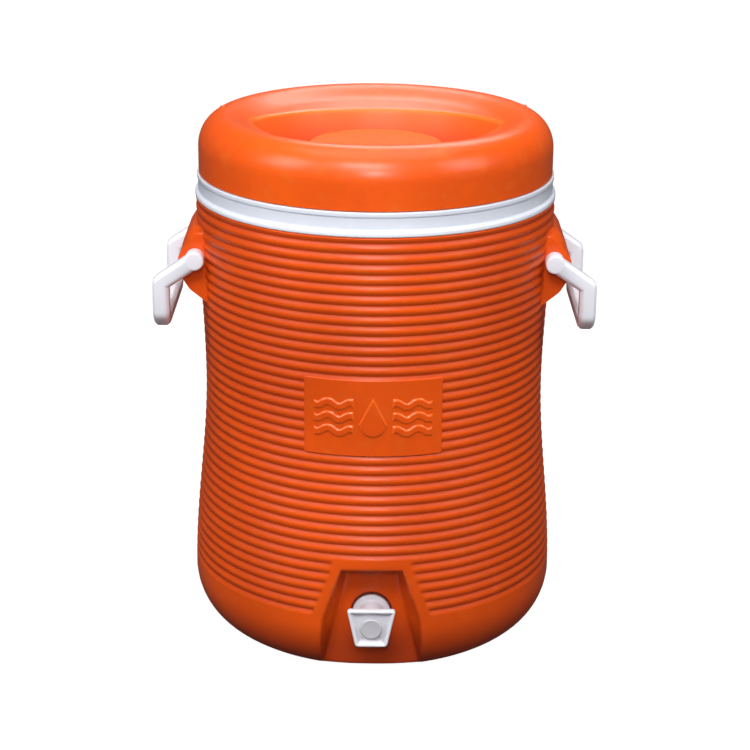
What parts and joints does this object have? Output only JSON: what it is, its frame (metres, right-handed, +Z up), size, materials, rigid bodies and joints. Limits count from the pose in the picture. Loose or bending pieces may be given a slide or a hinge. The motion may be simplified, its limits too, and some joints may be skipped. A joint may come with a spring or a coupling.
{
  "type": "insulated water jug",
  "caption": "Large round insulated water jug with a ribbed body, screw lid with a hand recess, bail handles at the sides and a push tap low at the front.",
  "frame": {"origin": "centre of the flat base, on the jug's axis", "axes": "+Z up along the jug's axis, the tap faces -Y, the handles are on +X and -X"},
  "size_m": [0.3896, 0.3379, 0.476],
  "materials": {
    "orange_shell": "semi-gloss moulded polyethylene",
    "orange_lid": "semi-gloss moulded polyethylene",
    "white_collar": "semi-gloss white plastic",
    "white_tank": "smooth food-grade plastic",
    "white_lid_liner": "smooth food-grade plastic",
    "white_handle": "semi-gloss white plastic",
    "white_tap": "semi-gloss off-white plastic",
    "grey_button": "satin off-white plastic",
    "foam": "rigid insulating foam",
    "dark_rubber": "soft rubber",
    "red_rubber": "soft rubber",
    "pale_rubber": "soft silicone",
    "spring_steel": "bright stainless wire"
  },
  "bodies": {
    "root": {"outer_shell": "orange_shell", "base_plug": "orange_shell", "body_foam": "foam", "inner_liner": "white_tank", "collar_ring": "white_collar", "tap_body": "white_tap", "tap_outer_gasket": "red_rubber", "tap_inner_gasket": "dark_rubber", "tap_nut": "white_tap", "tap_spring": "spring_steel"},
    "lid_seal": {"lid_gasket": "pale_rubber"},
    "lid": {"lid_cover": "orange_lid", "lid_liner": "white_lid_liner", "lid_foam": "foam", "lid_fill_plug_left": "orange_lid", "lid_fill_plug_right": "orange_lid"},
    "left_bail": {"handle_left": "white_handle"},
    "right_bail": {"handle_right": "white_handle"},
    "tap_plunger": {"tap_paddle": "white_tap", "tap_button": "grey_button", "tap_stem": "white_tap", "tap_valve_seal": "dark_rubber", "tap_retaining_clip": "spring_steel"}
  },
  "joints": [
    {"name": "lid_rise", "type": "slide", "parent": "root", "child": "lid_seal", "axis": [0, 0, 1], "range_m": [0, 0.0641]},
    {"name": "lid_turn", "type": "hinge", "parent": "lid_seal", "child": "lid", "pos_m": [0, 0, 0.425], "axis": [0, 0, 1], "range_deg": [0, 720]},
    {"name": "left_handle_swing", "type": "hinge", "parent": "root", "child": "left_bail", "pos_m": [-0.1575, 0, 0.3565], "axis": [0, 1, 0], "range_deg": [0, 115]},
    {"name": "right_handle_swing", "type": "hinge", "parent": "root", "child": "right_bail", "pos_m": [0.1575, 0, 0.3565], "axis": [0, -1, 0], "range_deg": [0, 115]},
    {"name": "tap_press", "type": "slide", "parent": "root", "child": "tap_plunger", "axis": [0, 1, 0], "range_m": [0, 0.006], "stiffness_N_per_m": 600, "springref_m": -0.004, "deforming": ["tap_spring"]}
  ],
  "couplings": [
    {"joint": "lid_rise", "follows": "lid_turn", "m_per_rad": 0.005093}
  ]
}
